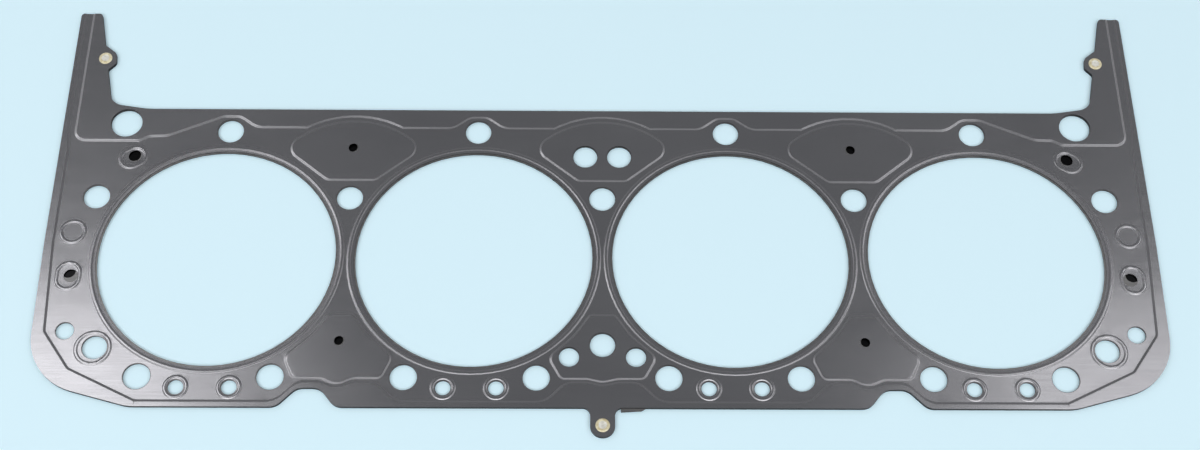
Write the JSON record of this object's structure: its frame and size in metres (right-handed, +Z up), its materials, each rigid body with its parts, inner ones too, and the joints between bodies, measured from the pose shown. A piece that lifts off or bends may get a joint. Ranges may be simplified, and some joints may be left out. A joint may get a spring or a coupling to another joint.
{
  "type": "cylinder head gasket",
  "caption": "Flat layered steel cylinder head gasket with large bore openings in a row, bolt holes, embossed sealing beads, two tall end tabs and small rivets.",
  "frame": {"origin": "on the line of bores, midway between the two middle bores, on the underside of the lower sheet's sealing field", "axes": "+X along the row of bores, +Y to the side with the two horns, +Z up, out of the side that faces the cylinder head"},
  "size_m": [0.4864, 0.2092, 0.0025],
  "materials": {
    "coated_sheet": "satin grey coating on spring steel",
    "core_steel": "plain rolled steel",
    "rivet_brass": "pale, slightly dull"
  },
  "bodies": {
    "root": {"upper_sheet": "coated_sheet", "core_sheet": "core_steel", "lower_sheet": "coated_sheet", "horn_rivet_left": "rivet_brass", "horn_rivet_right": "rivet_brass", "tab_rivet": "rivet_brass"}
  },
  "joints": []
}
